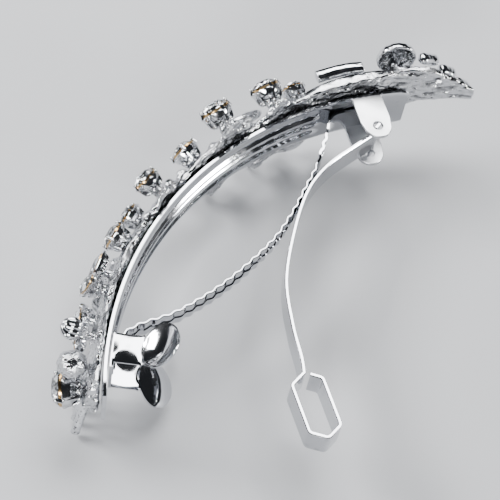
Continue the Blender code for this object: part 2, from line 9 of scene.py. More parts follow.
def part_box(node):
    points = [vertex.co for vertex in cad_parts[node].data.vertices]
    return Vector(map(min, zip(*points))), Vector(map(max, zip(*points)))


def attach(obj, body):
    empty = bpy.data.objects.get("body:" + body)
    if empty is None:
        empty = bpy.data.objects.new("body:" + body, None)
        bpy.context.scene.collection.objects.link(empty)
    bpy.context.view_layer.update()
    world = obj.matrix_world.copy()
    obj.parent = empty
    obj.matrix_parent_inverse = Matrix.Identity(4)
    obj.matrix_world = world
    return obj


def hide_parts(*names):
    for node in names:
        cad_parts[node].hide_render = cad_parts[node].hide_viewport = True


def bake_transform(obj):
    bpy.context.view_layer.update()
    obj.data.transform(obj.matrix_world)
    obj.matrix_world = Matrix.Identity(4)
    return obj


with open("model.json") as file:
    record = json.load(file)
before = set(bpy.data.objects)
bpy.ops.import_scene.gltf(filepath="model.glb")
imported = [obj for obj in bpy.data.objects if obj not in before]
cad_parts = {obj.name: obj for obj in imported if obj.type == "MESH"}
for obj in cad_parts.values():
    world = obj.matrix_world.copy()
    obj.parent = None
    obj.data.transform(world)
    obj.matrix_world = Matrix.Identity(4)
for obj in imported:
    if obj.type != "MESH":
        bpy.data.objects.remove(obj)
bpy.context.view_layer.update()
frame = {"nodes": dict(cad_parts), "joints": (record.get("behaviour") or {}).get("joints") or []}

MM = 0.001

# ---------------------------------------------------------------- camera
# A long lens above the open side of the clip, turned a little, so that the arch runs from the lower left
# to the upper right with the lever hanging open below it.
VIEW_AZIMUTH = math.radians(-63.85)
VIEW_ELEVATION = math.radians(56.6)
VIEW_ROLL = math.radians(12.2)
LENS = 122.4
DISTANCE = 283.3 * MM
AIM = Vector((-5.4, 5.0, 11.3)) * MM

back = Vector((
    math.sin(VIEW_AZIMUTH) * math.cos(VIEW_ELEVATION),
    -math.cos(VIEW_AZIMUTH) * math.cos(VIEW_ELEVATION),
    math.sin(VIEW_ELEVATION),
))
level = Vector((math.cos(VIEW_AZIMUTH), math.sin(VIEW_AZIMUTH), 0))
raised = back.cross(level)
right = level * math.cos(VIEW_ROLL) + raised * math.sin(VIEW_ROLL)
upright = raised * math.cos(VIEW_ROLL) - level * math.sin(VIEW_ROLL)
camera = bpy.data.objects.new("camera", bpy.data.cameras.new("camera"))
camera.data.lens = LENS
camera.data.sensor_width = 36.0
camera.data.clip_start = 0.01
camera.matrix_world = Matrix.Translation(AIM + back * DISTANCE) @ Matrix(
    (right, upright, back)
).transposed().to_4x4()
bpy.context.scene.collection.objects.link(camera)
bpy.context.scene.camera = camera

# ---------------------------------------------------------------- table and lights
# A plain pale table top, and large soft panels that the bright metal mirrors as broad white bands
# between darker gaps.
bpy.ops.mesh.primitive_plane_add(size=4.0, location=(0, 0, -0.0002))
table = bpy.context.object
table.name = "table_top"
table_paint = bpy.data.materials.new("table_paint")
table_paint.use_nodes = True
paint = table_paint.node_tree.nodes["Principled BSDF"]
paint.inputs["Base Color"].default_value = (0.50, 0.51, 0.53, 1)
paint.inputs["Roughness"].default_value = 0.7
table.data.materials.append(table_paint)

PANELS = (
    ("top_panel", (0.24, 0.13, 0.42), 0.40, 3.6),
    ("side_panel", (-0.40, -0.20, 0.22), 0.16, 2.6),
    ("back_panel", (-0.12, 0.40, 0.26), 0.20, 3.4),
    ("low_strip", (0.20, -0.42, 0.10), 0.10, 1.6),
)
for panel_name, place, size, watts in PANELS:
    lamp = bpy.data.lights.new(panel_name, "AREA")
    lamp.shape = "RECTANGLE"
    lamp.size = size
    lamp.size_y = size * 0.55
    lamp.energy = watts
    panel = bpy.data.objects.new(panel_name, lamp)
    panel.location = place
    panel.rotation_euler = (AIM - Vector(place)).to_track_quat("-Z", "Y").to_euler()
    bpy.context.scene.collection.objects.link(panel)

studio = bpy.data.worlds.new("studio")
bpy.context.scene.world = studio
studio.use_nodes = True
studio.node_tree.nodes["Background"].inputs["Color"].default_value = (0.50, 0.54, 0.60, 1)
studio.node_tree.nodes["Background"].inputs["Strength"].default_value = 0.05

# ---------------------------------------------------------------- base plate
# One strip of sheet steel pressed to an arch, with three beads stamped along it to stiffen it. At the
# hinge end its two ears are folded down, each with a round hole for the lever. The plating is nearly a
# mirror, with faint rolling ripples, fine handling scratches and a slightly duller film in patches.


def link(tree, a, a_out, b, b_in):
    """Joins one node's output to another node's input."""
    tree.links.new(a.outputs[a_out], b.inputs[b_in])


SCRATCH_SCALE = 900.0
PITS_TO_RIPPLES = 3.1


def surface_group(name, ripple_scale, scratch_stretch):
    """A node group that puts out a roughness mask, a tint mask and a height."""
    tree = bpy.data.node_groups.new(name, "ShaderNodeTree")
    for socket, kind, start in (("Vector", "NodeSocketVector", None), ("Ripple", "NodeSocketFloat", 1.0),
                                ("Scratch", "NodeSocketFloat", 1.0)):
        made = tree.interface.new_socket(name=socket, in_out="INPUT", socket_type=kind)
        if start is not None:
            made.default_value = start
    for socket in ("Film", "Grime", "Height"):
        tree.interface.new_socket(name=socket, in_out="OUTPUT", socket_type="NodeSocketFloat")
    enter = tree.nodes.new("NodeGroupInput")
    leave = tree.nodes.new("NodeGroupOutput")
    broad = tree.nodes.new("ShaderNodeTexNoise")
    broad.inputs["Scale"].default_value = ripple_scale
    broad.inputs["Detail"].default_value = 3.0
    link(tree, enter, "Vector", broad, "Vector")
    stretch = tree.nodes.new("ShaderNodeMapping")
    stretch.inputs["Scale"].default_value = scratch_stretch
    link(tree, enter, "Vector", stretch, "Vector")
    fine = tree.nodes.new("ShaderNodeTexNoise")
    fine.inputs["Scale"].default_value = SCRATCH_SCALE
    fine.inputs["Detail"].default_value = 5.0
    fine.inputs["Roughness"].default_value = 0.7
    link(tree, stretch, "Vector", fine, "Vector")
    pits = tree.nodes.new("ShaderNodeTexVoronoi")
    pits.inputs["Scale"].default_value = ripple_scale * PITS_TO_RIPPLES
    link(tree, enter, "Vector", pits, "Vector")
    pit_edge = tree.nodes.new("ShaderNodeMapRange")
    pit_edge.inputs["From Max"].default_value = 0.35
    pit_edge.inputs["To Min"].default_value = 1.0
    pit_edge.inputs["To Max"].default_value = 0.0
    link(tree, pits, "Distance", pit_edge, "Value")
    film = tree.nodes.new("ShaderNodeMapRange")
    film.inputs["From Min"].default_value = 0.42
    film.inputs["From Max"].default_value = 0.68
    link(tree, broad, "Fac", film, "Value")
    link(tree, film, "Result", leave, "Film")
    grime = tree.nodes.new("ShaderNodeMath")
    grime.operation = "MULTIPLY"
    link(tree, pit_edge, "Result", grime, 0)
    link(tree, film, "Result", grime, 1)
    link(tree, grime, "Value", leave, "Grime")
    ripple = tree.nodes.new("ShaderNodeMath")
    ripple.operation = "MULTIPLY"
    link(tree, broad, "Fac", ripple, 0)
    link(tree, enter, "Ripple", ripple, 1)
    scratch = tree.nodes.new("ShaderNodeMath")
    scratch.operation = "MULTIPLY_ADD"
    link(tree, fine, "Fac", scratch, 0)
    link(tree, enter, "Scratch", scratch, 1)
    link(tree, ripple, "Value", scratch, 2)
    link(tree, scratch, "Value", leave, "Height")
    return tree


SHEET_SURFACE = surface_group("rolled_sheet", 180.0, (0.25, 1.0, 2.0))
SURFACE_RELIEF = 0.2 * MM


def metal(name, group, light, dark, smooth, dull, ripple, scratch, bump):
    """A plated metal: two tints, two roughnesses and a bump, all from one surface group."""
    mat = bpy.data.materials.new(name)
    mat.use_nodes = True
    tree = mat.node_tree
    shader = tree.nodes["Principled BSDF"]
    shader.inputs["Metallic"].default_value = 1.0
    coords = tree.nodes.new("ShaderNodeTexCoord")
    marks = tree.nodes.new("ShaderNodeGroup")
    marks.node_tree = group
    marks.inputs["Ripple"].default_value = ripple
    marks.inputs["Scratch"].default_value = scratch
    link(tree, coords, "Object", marks, "Vector")
    tint = tree.nodes.new("ShaderNodeMix")
    tint.data_type = "RGBA"
    tint.inputs["A"].default_value = (*light, 1)
    tint.inputs["B"].default_value = (*dark, 1)
    link(tree, marks, "Grime", tint, "Factor")
    tree.links.new(tint.outputs["Result"], shader.inputs["Base Color"])
    rough = tree.nodes.new("ShaderNodeMapRange")
    rough.inputs["To Min"].default_value = smooth
    rough.inputs["To Max"].default_value = dull
    link(tree, marks, "Film", rough, "Value")
    link(tree, rough, "Result", shader, "Roughness")
    relief = tree.nodes.new("ShaderNodeBump")
    relief.inputs["Strength"].default_value = bump
    relief.inputs["Distance"].default_value = SURFACE_RELIEF
    link(tree, marks, "Height", relief, "Height")
    link(tree, relief, "Normal", shader, "Normal")
    return mat


def steel(name):
    """Plated spring steel, for any of the sheet pieces."""
    return metal(name, SHEET_SURFACE, (0.60, 0.61, 0.635), (0.42, 0.43, 0.45), 0.06, 0.16, 0.9, 0.12, 0.22)


DOUBLES_WITHIN = 2e-7


def finished(name, bm, mat, body="frame", smooth_angle=35.0, replaced=()):
    """The object for a finished piece: normals out, shaded smooth, riding on its body."""
    bmesh.ops.remove_doubles(bm, verts=bm.verts, dist=DOUBLES_WITHIN)
    bmesh.ops.recalc_face_normals(bm, faces=bm.faces)
    mesh = bpy.data.meshes.new(name)
    bm.to_mesh(mesh)
    bm.free()
    mesh.materials.append(mat)
    mesh.shade_smooth()
    mesh.set_sharp_from_angle(angle=math.radians(smooth_angle))
    obj = bpy.data.objects.new(name, mesh)
    bpy.context.scene.collection.objects.link(obj)
    if body:
        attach(obj, body)
    if replaced:
        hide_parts(*replaced)
    return obj


def loft(rings, bm=None, capped=True):
    """A closed skin over rings of equal length."""
    bm = bm or bmesh.new()
    loops = [[bm.verts.new(p) for p in ring] for ring in rings]
    count = len(loops[0])
    for a, b in zip(loops, loops[1:]):
        for k in range(count):
            m = (k + 1) % count
            bm.faces.new((a[k], a[m], b[m], b[k]))
    if capped:
        bm.faces.new(loops[0][::-1])
        bm.faces.new(loops[-1])
    return bm


ARC_RADIUS = 60.4 * MM
plate_low, plate_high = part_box("base_plate")
MID_Z = (plate_low[2] + plate_high[2]) / 2
PLATE_WIDTH = plate_high[2] - plate_low[2]
PLATE_THICKNESS = 0.7 * MM
ARC_CENTRE = Vector((-4.897, plate_high[1] / MM - ARC_RADIUS / MM, 0)) * MM
CATCH_END_X = plate_low[0] - ARC_CENTRE.x
HINGE_END_X = plate_high[0] - ARC_CENTRE.x


def arch_turned(lean, height, z):
    """The point at this lean from the crown, this far outside the plate and this far off mid width."""
    radius = ARC_RADIUS + height
    rise = Vector((math.sin(lean), math.cos(lean), 0)) * radius
    return ARC_CENTRE + rise + Vector((0, 0, MID_Z + z))


def outward(point):
    """The direction away from the arch's centre line at a point."""
    return Vector((point.x - ARC_CENTRE.x, point.y - ARC_CENTRE.y, 0)).normalized()


BEADS = (-2.1 * MM, 0.0, 2.1 * MM)
BEAD_HALF = 0.5 * MM
BEAD_DEPTH = 0.6 * MM
BEAD_END = math.radians(29.0)
BEAD_RUN_OUT = math.radians(1.4)


def bead(z, lean):
    """How far the sheet is pressed in towards the hollow side of the arch."""
    fade = min(max((BEAD_END - abs(lean)) / BEAD_RUN_OUT, 0.0), 1.0)
    fade = fade * fade * (3 - 2 * fade)
    return -BEAD_DEPTH * fade * sum(math.exp(-((z - at) / BEAD_HALF) ** 2) for at in BEADS)


PLATE_STEPS = 120
PLATE_SAMPLES = 44
ROUNDED_STEPS = 3.0
ROUNDED_SHARE = 0.10
EDGE_FROM = 0.93
EDGE_ROLL = 0.12 * MM


def plate_rings(lean_from, lean_to):
    """Cross-sections of the beaded plate from one end to the other, narrowed to round its corners."""
    rings = []
    for i in range(PLATE_STEPS + 1):
        lean = lean_from + (lean_to - lean_from) * i / PLATE_STEPS
        end = min(i, PLATE_STEPS - i) / ROUNDED_STEPS
        half = PLATE_WIDTH / 2 * (1 - ROUNDED_SHARE * max(0.0, 1 - end) ** 2)
        top, bottom = [], []
        for k in range(PLATE_SAMPLES + 1):
            v = -1 + 2 * k / PLATE_SAMPLES
            z = half * v
            rolled = EDGE_ROLL * max(0.0, abs(v) - EDGE_FROM) / (1 - EDGE_FROM)
            dip = bead(z, lean)
            top.append(arch_turned(lean, dip - rolled, z))
            bottom.append(arch_turned(lean, dip - PLATE_THICKNESS + rolled, z))
        rings.append(top + bottom[::-1])
    return rings


plate = loft(plate_rings(math.asin(CATCH_END_X / ARC_RADIUS), math.asin(HINGE_END_X / ARC_RADIUS)))

joint_places = {j["name"]: Vector(j["pos_m"]) for j in frame["joints"]}
PIVOT = joint_places["lever_hinge"]
EAR_HALF = 2.7 * MM
EAR_LOBE = 2.4 * MM
EAR_HOLE = 0.95 * MM
EAR_SHOULDER = 1.4 * MM
EAR_SOFT = 0.1 * MM
ear_in = -outward(PIVOT)
ear_along = Vector((-ear_in.y, ear_in.x, 0))
EAR_DROP = ARC_RADIUS - (PIVOT.xy - ARC_CENTRE.xy).length


def ear_edge(inset):
    """The ear's outline, drawn in from its edge by inset: square at the fold, round at the lobe."""
    points = []
    half = EAR_HALF - inset
    fold = PIVOT - ear_in * (EAR_DROP - PLATE_THICKNESS * 0.6)
    shoulder = PIVOT - ear_in * EAR_SHOULDER
    for k in range(5):
        points.append(fold + ear_along * (-half + 2 * half * k / 4))
    for k in range(1, 5):
        points.append(fold.lerp(shoulder, k / 4) + ear_along * half)
    for k in range(17):
        turn = math.pi * k / 16
        radius = EAR_LOBE - inset
        points.append(PIVOT + (ear_along * math.cos(turn) + ear_in * math.sin(turn)) * radius)
    for k in range(4):
        points.append(shoulder.lerp(fold, k / 4) - ear_along * half)
    return points


def ear_plate(bm, outer_z, inner_z):
    """One ear as a flat plate with softened edges and a clean round hole."""
    way = math.copysign(EAR_SOFT, outer_z - inner_z)
    outline = ear_edge(0.0)
    count = len(outline)
    hole = []
    for p in outline:
        flat = (p - PIVOT).to_3d()
        flat.z = 0
        hole.append(PIVOT + flat.normalized() * EAR_HOLE)
    rings = []
    for source, z in ((hole, inner_z), (ear_edge(EAR_SOFT), inner_z), (outline, inner_z + way),
                      (outline, outer_z - way), (ear_edge(EAR_SOFT), outer_z), (hole, outer_z)):
        rings.append([bm.verts.new((p.x, p.y, z)) for p in source])
    rings.append(rings[0])
    for a, b in zip(rings, rings[1:]):
        for k in range(count):
            m = (k + 1) % count
            bm.faces.new((a[k], a[m], b[m], b[k])).material_index = 1


for side in (-1, 1):
    outer = MID_Z + side * PLATE_WIDTH / 2
    ear_plate(plate, outer, outer - side * PLATE_THICKNESS)
base_plate = finished("base_plate_sheet", plate, steel("base_plate_steel"), replaced=("base_plate",))
base_plate.data.materials.append(metal(
    "tumbled_steel", SHEET_SURFACE, (0.62, 0.63, 0.65), (0.50, 0.51, 0.53), 0.28, 0.40, 0.9, 0.2, 0.25
))

# ---------------------------------------------------------------- lever
# A narrow spring strip with rounded edges. A tab on each side of its end turns in the ears' holes, and
# its free end is folded round into a six-sided eye.
LEVER_WIDTH = 5.0 * MM
LEVER_THICKNESS = 0.6 * MM
LEVER_BENDS = (
    (0.0, 0.0), (-4.9, 1.2), (-11.4, 2.4), (-18.2, 1.9), (-26.3, -1.1),
    (-34.8, -5.6), (-41.0, -11.3), (-45.0, -15.9), (-47.1, -17.9),
)
EYE_LENGTH = 11.8 * MM
EYE_WIDTH = 5.2 * MM
EYE_APEX = 1.6 * MM
EYE_GAP = 0.9 * MM
EYE_LAP = 0.5 * MM
EYE_BEND = 0.5 * MM
EDGE_SOFT = 0.12 * MM
TAB = ((-0.6, -0.2), (0.62, -0.2), (0.62, 0.22), (-0.6, 0.22))


def smooth_line(knots, steps):
    """A smooth line through the knots."""
    points = []
    for i in range(len(knots) - 1):
        p0, p1 = knots[max(i - 1, 0)], knots[i]
        p2, p3 = knots[i + 1], knots[min(i + 2, len(knots) - 1)]
        for k in range(steps):
            t = k / steps
            bend = 2 * p0 - 5 * p1 + 4 * p2 - p3
            twist = 3 * p1 - p0 - 3 * p2 + p3
            points.append(0.5 * (2 * p1 + (p2 - p0) * t + bend * t * t + twist * t * t * t))
    points.append(knots[-1].copy())
    return points


def rounded_line(corners, radius, steps):
    """A line through corners, each turned on a small bend."""
    points = [corners[0]]
    for before, at, after in zip(corners, corners[1:], corners[2:]):
        reach = min(radius, (at - before).length * 0.45, (after - at).length * 0.45)
        start = at + (before - at).normalized() * reach
        end = at + (after - at).normalized() * reach
        for k in range(steps + 1):
            t = k / steps
            points.append(start * (1 - t) ** 2 + at * 2 * t * (1 - t) + end * t * t)
    points.append(corners[-1])
    return points


def bent_strip(line, half_width, half_thickness, ridge=0.0):
    """Sheet steel following a line in the XY plane, with rounded edges and an optional ridge along it."""
    rings = []
    for i, p in enumerate(line):
        before, after = line[max(i - 1, 0)], line[min(i + 1, len(line) - 1)]
        way = (after - before).normalized()
        side = Vector((-way.y, way.x, 0))
        section = []
        for face in (1, -1):
            for v in (-1.0, -0.94, -0.5, -0.16, -0.06, 0.06, 0.16, 0.5, 0.94, 1.0):
                edge = EDGE_SOFT if abs(v) == 1.0 else 0.0
                lift = ridge if abs(v) < 0.1 else 0.0
                section.append(p + side * (face * (half_thickness - edge) - lift)
                               + Vector((0, 0, v * face * half_width)))
        rings.append(section)
    return loft(rings)


strip_line = smooth_line([PIVOT + Vector((*bend, 0)) * MM for bend in LEVER_BENDS], 14)
eye_root = strip_line[-1]
eye_axis = Vector((-0.58, -0.815, 0)).normalized()
eye_side = Vector((-eye_axis.y, eye_axis.x, 0))
half_eye = EYE_WIDTH / 2
eye_line = rounded_line([
    strip_line[-2],
    eye_root,
    eye_root + eye_axis * EYE_APEX - eye_side * half_eye,
    eye_root + eye_axis * (EYE_LENGTH - EYE_APEX) - eye_side * half_eye,
    eye_root + eye_axis * EYE_LENGTH,
    eye_root + eye_axis * (EYE_LENGTH - EYE_APEX) + eye_side * half_eye,
    eye_root + eye_axis * EYE_APEX + eye_side * half_eye,
    eye_root + eye_axis * EYE_LAP + eye_side * EYE_GAP,
], EYE_BEND, 5)
lever_strip = bent_strip(strip_line[:-2] + eye_line, LEVER_WIDTH / 2, LEVER_THICKNESS / 2)
tab = [PIVOT + Vector((x, y, 0)) * MM for x, y in TAB]
loft([[Vector((p.x, p.y, z)) for p in tab] for z in (
    MID_Z - PLATE_WIDTH / 2, MID_Z + PLATE_WIDTH / 2)], lever_strip)
finished("lever_strip", lever_strip, steel("lever_steel"), body="lever", replaced=("lever",))

# ---------------------------------------------------------------- tension bar
# A thinner strip bowed away from the plate, pressed into small cross ridges that grip hair. The real bar
# bends as the lever closes over it; here it is made in two lengths that meet where both lie against the
# lever, neither set to move.
BAR_WIDTH = 3.8 * MM
BAR_THICKNESS = 0.4 * MM
BAR_BENDS = (
    (-32.7, 49.0), (-29.0, 51.1), (-24.8, 50.4), (-18.5, 47.1), (-9.0, 44.5), (2.0, 43.4), (9.0, 44.1),
    (14.0, 45.2), (20.0, 46.6), (26.0, 48.8), (30.6, 50.5), (35.0, 47.6),
)
RIDGE_PITCH = 2.1 * MM
RIDGE_HEIGHT = 0.14 * MM
BAR_RIDGE = 0.22 * MM
PAD_X = 20.4 * MM
PAD_END_X = 27.6 * MM
PAD_HALF = 2.7 * MM
PAD_SHOULDER = 1.4 * MM
PAD_HOLE_X = 24.0 * MM
PAD_HOLE_ACROSS = 1.25 * MM
PAD_HOLE_LENGTH = 1.5 * MM
PAD_HOLE_WIDTH = 0.72 * MM
BAR_SEAM_X = 14.0 * MM
BAR_CATCH_X = -28.0 * MM
BAR_HINGE_X = 27.0 * MM
RIDGE_START = 4.0 * MM
RIDGE_FADE = 1.5 * MM


def bar_line():
    """The bar's bowed line with its cross ridges, sampled evenly."""
    knots = [ARC_CENTRE + Vector((x * MM, y * MM, MID_Z)) for x, y in BAR_BENDS]
    coarse = smooth_line(knots, 40)
    points, run = [coarse[0]], 0.0
    for a, b in zip(coarse, coarse[1:]):
        run += (b - a).length
        x = b.x - ARC_CENTRE.x
        fade = min(max((x - BAR_CATCH_X + RIDGE_START) / RIDGE_FADE, 0), 1)
        fade *= min(max((BAR_HINGE_X - x) / RIDGE_FADE, 0), 1)
        way = (b - a).normalized()
        side = Vector((-way.y, way.x, 0))
        points.append(b + side * RIDGE_HEIGHT * fade * math.sin(2 * math.pi * run / RIDGE_PITCH))
    return points


line = bar_line()
bar_steel = steel("tension_bar_steel")
seam = next(i for i, p in enumerate(line) if p.x - ARC_CENTRE.x > BAR_SEAM_X)
bar_catch_length = bent_strip(line[:seam + 1], BAR_WIDTH / 2, BAR_THICKNESS / 2, ridge=BAR_RIDGE)
pad_start = next(i for i, p in enumerate(line) if p.x - ARC_CENTRE.x > PAD_X)
bar_hinge_length = bent_strip(line[seam:pad_start + 2], BAR_WIDTH / 2, BAR_THICKNESS / 2, ridge=BAR_RIDGE)
bar_long = finished("tension_bar_catch_length", bar_catch_length, bar_steel, body=None,
                    replaced=("tension_bar",))
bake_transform(bar_long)
bar_short = finished("tension_bar_hinge_length", bar_hinge_length, bar_steel, body=None)


def pierced_pad():
    """The bar's wide pad and its end tab as one sheet, pierced by two oval holes."""
    bm = bmesh.new()
    columns = 36
    rows = []
    for p in line[pad_start:]:
        x = p.x - ARC_CENTRE.x
        wide = min(max((x - PAD_X) / PAD_SHOULDER, 0), 1) * min(max((PAD_END_X - x) / PAD_SHOULDER, 0), 1)
        half = BAR_WIDTH / 2 + (PAD_HALF - BAR_WIDTH / 2) * wide * wide * (3 - 2 * wide)
        levels = [MID_Z + half * (2 * k / columns - 1) for k in range(columns + 1)]
        rows.append([bm.verts.new((p.x, p.y, z)) for z in levels])
    for a, b in zip(rows, rows[1:]):
        for k in range(columns):
            middle = (a[k].co + b[k + 1].co) / 2
            along_hole = (middle.x - ARC_CENTRE.x - PAD_HOLE_X) / PAD_HOLE_LENGTH
            across_hole = (abs(middle.z - MID_Z) - PAD_HOLE_ACROSS) / PAD_HOLE_WIDTH
            if along_hole ** 2 + across_hole ** 2 > 1:
                bm.faces.new((a[k], a[k + 1], b[k + 1], b[k]))
    bmesh.ops.delete(bm, geom=[v for v in bm.verts if not v.link_faces], context="VERTS")
    sheet = bpy.data.meshes.new("pad_in_making")
    bm.to_mesh(sheet)
    bm.free()
    work = bpy.data.objects.new("pad_in_making", sheet)
    bpy.context.scene.collection.objects.link(work)
    wall = work.modifiers.new("wall", "SOLIDIFY")
    wall.thickness = BAR_THICKNESS
    wall.offset = 0.0
    made = bpy.data.meshes.new_from_object(work.evaluated_get(bpy.context.evaluated_depsgraph_get()))
    bpy.data.objects.remove(work)
    solid = bmesh.new()
    solid.from_mesh(made)
    bpy.data.meshes.remove(made)
    return solid


bar_pad = finished("tension_bar_pad", pierced_pad(), bar_steel, body=None)
for length in (bar_short, bar_pad):
    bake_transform(length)

# ---------------------------------------------------------------- catch
# A sprung sheet fixed under the plate's end, with two arms that end in dished round thumb pads. The pads
# flare outwards, so that a finger and thumb can squeeze the arms and let the lever's eye go.
ARM_LENGTH = 5.2 * MM
ARM_DROP = 4.6 * MM
ARM_THICKNESS = 0.5 * MM
PAD_RADIUS = 3.9 * MM
PAD_FLARE = math.radians(42)
PAD_DISH = 0.75 * MM
ARM_CROWN = 0.3 * MM
ARM_SHARE = 0.34
PAD_LENGTH = 1.9 * PAD_RADIUS
NECK_SHARE = 0.32
TURN_SHARE = 0.12
PAD_NECK = 0.12 * PAD_RADIUS
PAD_TIP = 0.25 * MM
WING_ROWS = 44
WING_COLUMNS = 18
catch_steel = steel("catch_steel")


def wing_sheet(side, root):
    """An arm and its pad as one curved sheet, thick enough to show a bright edge."""
    inwards = -outward(root)
    way = Vector((-inwards.y, inwards.x, 0))
    out = Vector((0, 0, side))
    pad_way = inwards * math.cos(PAD_FLARE) + out * math.sin(PAD_FLARE)
    pad_face = out * math.cos(PAD_FLARE) - inwards * math.sin(PAD_FLARE)
    bend = root + inwards * ARM_DROP
    rings = []
    for i in range(WING_ROWS + 1):
        t = i / WING_ROWS
        if t < ARM_SHARE:
            middle, face, reach = root + inwards * ARM_DROP * t / ARM_SHARE, out, ARM_LENGTH / 2
            dish = -ARM_CROWN * math.sin(math.pi * t / ARM_SHARE)
        else:
            u = (t - ARM_SHARE) / (1 - ARM_SHARE)
            middle = bend + pad_way * PAD_LENGTH * u
            across = 2 * u - 0.97
            reach = PAD_RADIUS * math.sqrt(max(1 - across * across, 0.0))
            neck = ARM_LENGTH / 2 * (1 - u / NECK_SHARE)
            reach = max(reach, neck * 0.9 + PAD_NECK, PAD_TIP)
            face = out.lerp(pad_face, min(u / TURN_SHARE, 1.0)).normalized()
            dish = PAD_DISH * max(1 - across * across, 0.0)
        front, rear = [], []
        for k in range(WING_COLUMNS + 1):
            v = -1 + 2 * k / WING_COLUMNS
            point = middle + way * reach * v - face * dish * (1 - v * v)
            edge = 0.6 if abs(v) > 0.99 or i == WING_ROWS else 1.0
            front.append(point + face * ARM_THICKNESS / 2 * edge)
            rear.append(point - face * ARM_THICKNESS / 2 * edge)
        rings.append(front + rear[::-1])
    return loft(rings)


for level, side in (("upper", 1), ("lower", -1)):
    root = joint_places[f"{level}_wing_bend"]
    finished(f"catch_wing_{level}_sheet", wing_sheet(side, root), catch_steel, body=f"{level}_wing",
             replaced=(f"catch_wing_{level}",))
frame["nodes"]["catch_web"].data.materials.clear()
frame["nodes"]["catch_web"].data.materials.append(catch_steel)

# ---------------------------------------------------------------- castings
# The spray's metal is a plated casting: bright on its outer faces, with a rough, slightly grey skin
# behind and in the hollows, where a near-black tint is mixed into the colour as painted shade.
CAST_SURFACE = surface_group("cast_skin", 420.0, (1.0, 1.0, 1.0))


def paint_hollow_shade(mat, dark, shade_share):
    """Mixes a dull dark tint into the hollows of a casting's skin, as painted shade in the recesses."""
    tree = mat.node_tree
    shader = tree.nodes["Principled BSDF"]
    tint = shader.inputs["Base Color"].links[0].from_socket
    hollow = tree.nodes.new("ShaderNodeAttribute")
    hollow.attribute_name = "hollow"
    depth = tree.nodes.new("ShaderNodeMapRange")
    depth.inputs["From Min"].default_value = 0.35
    depth.inputs["From Max"].default_value = 0.95
    depth.inputs["To Max"].default_value = shade_share
    link(tree, hollow, "Fac", depth, "Value")
    shade_mix = tree.nodes.new("ShaderNodeMix")
    shade_mix.data_type = "RGBA"
    shade_mix.inputs["B"].default_value = (*dark, 1)
    link(tree, depth, "Result", shade_mix, "Factor")
    tree.links.new(tint, shade_mix.inputs["A"])
    tree.links.new(shade_mix.outputs["Result"], shader.inputs["Base Color"])
    return mat


def polished(name):
    """Plated casting that the polishing wheel has reached."""
    return metal(name, CAST_SURFACE, (0.66, 0.67, 0.69), (0.36, 0.37, 0.39), 0.08, 0.22, 1.1, 0.25, 0.4)


rough_cast_painted_shade = metal("rough_casting", CAST_SURFACE, (0.62, 0.63, 0.65), (0.20, 0.205, 0.215),
                   0.12, 0.36, 1.6, 0.7, 0.9)
bright_cast = polished("bright_casting")
# The polished and the rough castings get painted shade: a near-black tint mixed into their colour in the
# hollows.
polished_cast_painted_shade = paint_hollow_shade(polished("worked_casting"), (0.10, 0.10, 0.11), 0.75)
paint_hollow_shade(rough_cast_painted_shade, (0.07, 0.07, 0.075), 0.9)

SOLDER_DEPTH = 0.4 * MM
RUN_STRETCH = 2.2


def cast_skin(node, grain, relief, coarse, seed):
    """A casting's own form, soldered down, with softened edges and a real skin of dimples and wrinkles."""
    source = bmesh.new()
    source.from_mesh(frame["nodes"][node].data)
    bmesh.ops.remove_doubles(source, verts=source.verts, dist=1e-6)
    if node != "spray_casting":
        low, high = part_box(node)
        sink = outward((Vector(low) + Vector(high)) / 2) * -SOLDER_DEPTH
        footing = bmesh.ops.duplicate(source, geom=source.verts[:] + source.edges[:] + source.faces[:])
        bmesh.ops.translate(source, verts=[g for g in footing["geom"] if isinstance(g, bmesh.types.BMVert)],
                            vec=sink)
    mesh = bpy.data.meshes.new(f"{node}_skin")
    source.to_mesh(mesh)
    source.free()
    work = bpy.data.objects.new(f"{node}_skin", mesh)
    bpy.context.scene.collection.objects.link(work)
    remesh = work.modifiers.new("remesh", "REMESH")
    remesh.mode = "VOXEL"
    remesh.voxel_size = grain
    soften = work.modifiers.new("soften", "SMOOTH")
    soften.factor = 0.5
    soften.iterations = 5
    made = bpy.data.meshes.new_from_object(work.evaluated_get(bpy.context.evaluated_depsgraph_get()))
    bpy.data.objects.remove(work)
    bm = bmesh.new()
    bm.from_mesh(made)
    bpy.data.meshes.remove(made)
    bm.normal_update()
    shift = Vector((seed * 3.7, seed * 1.9, seed * 5.3))
    moves = []
    for v in bm.verts:
        spot = v.co / coarse + shift
        if node == "spray_casting":
            arm = v.co.xy - ARC_CENTRE.xy
            run = math.atan2(arm.x, arm.y) * ARC_RADIUS / RUN_STRETCH
            spot = Vector((run, arm.length, v.co.z)) / coarse + shift
        wrinkle = 1.0 - 2.0 * abs(noise.noise(spot))
        dimple = noise.noise(spot * 2.7)
        edge_on = 1.0 - 0.75 * abs(v.normal.z)
        moves.append(v.normal * relief * edge_on * (0.65 * (wrinkle - 1.0) + 0.5 * dimple))
    # How far each point sinks into the skin: the mask for the painted shade in the hollows.
    hollow = bm.verts.layers.float.new("hollow")
    for v, move in zip(bm.verts, moves):
        v[hollow] = min(move.length / relief, 1.0) if move.dot(v.normal) < 0 else 0.0
        v.co += move
    return bm


